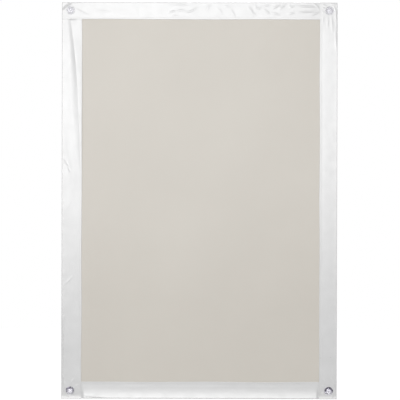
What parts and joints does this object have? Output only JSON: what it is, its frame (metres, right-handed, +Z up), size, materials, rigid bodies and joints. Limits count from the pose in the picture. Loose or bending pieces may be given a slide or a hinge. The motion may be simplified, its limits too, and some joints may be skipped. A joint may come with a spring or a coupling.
{
  "type": "roof window sun blind",
  "caption": "Flat blackout cloth blind bound with folded white vinyl bands and held on the window glass by a clear suction cup in each corner.",
  "frame": {"origin": "centre of the cloth, half way through its thickness", "axes": "+X to the right seen from the room, +Y from the room towards the window glass, +Z up along the blind"},
  "size_m": [0.358, 0.011, 0.515],
  "materials": {
    "cloth": "matte",
    "vinyl": "gloss",
    "clear_cup": "gloss"
  },
  "bodies": {
    "sheet": {"fabric_panel": "cloth", "bottom_band": "vinyl", "left_band": "vinyl", "top_band": "vinyl", "right_band": "vinyl"},
    "cup_top_left": {"suction_cup_top_left": "clear_cup"},
    "cup_top_right": {"suction_cup_top_right": "clear_cup"},
    "cup_bottom_left": {"suction_cup_bottom_left": "clear_cup"},
    "cup_bottom_right": {"suction_cup_bottom_right": "clear_cup"}
  },
  "joints": [
    {"name": "cup_top_left_turn", "type": "hinge", "parent": "sheet", "child": "cup_top_left", "pos_m": [-0.1675, 0, 0.247], "axis": [0, 1, 0], "continuous": true},
    {"name": "cup_top_right_turn", "type": "hinge", "parent": "sheet", "child": "cup_top_right", "pos_m": [0.1685, 0, 0.247], "axis": [0, 1, 0], "continuous": true},
    {"name": "cup_bottom_left_turn", "type": "hinge", "parent": "sheet", "child": "cup_bottom_left", "pos_m": [-0.1675, 0, -0.247], "axis": [0, 1, 0], "continuous": true},
    {"name": "cup_bottom_right_turn", "type": "hinge", "parent": "sheet", "child": "cup_bottom_right", "pos_m": [0.1685, 0, -0.247], "axis": [0, 1, 0], "continuous": true}
  ]
}
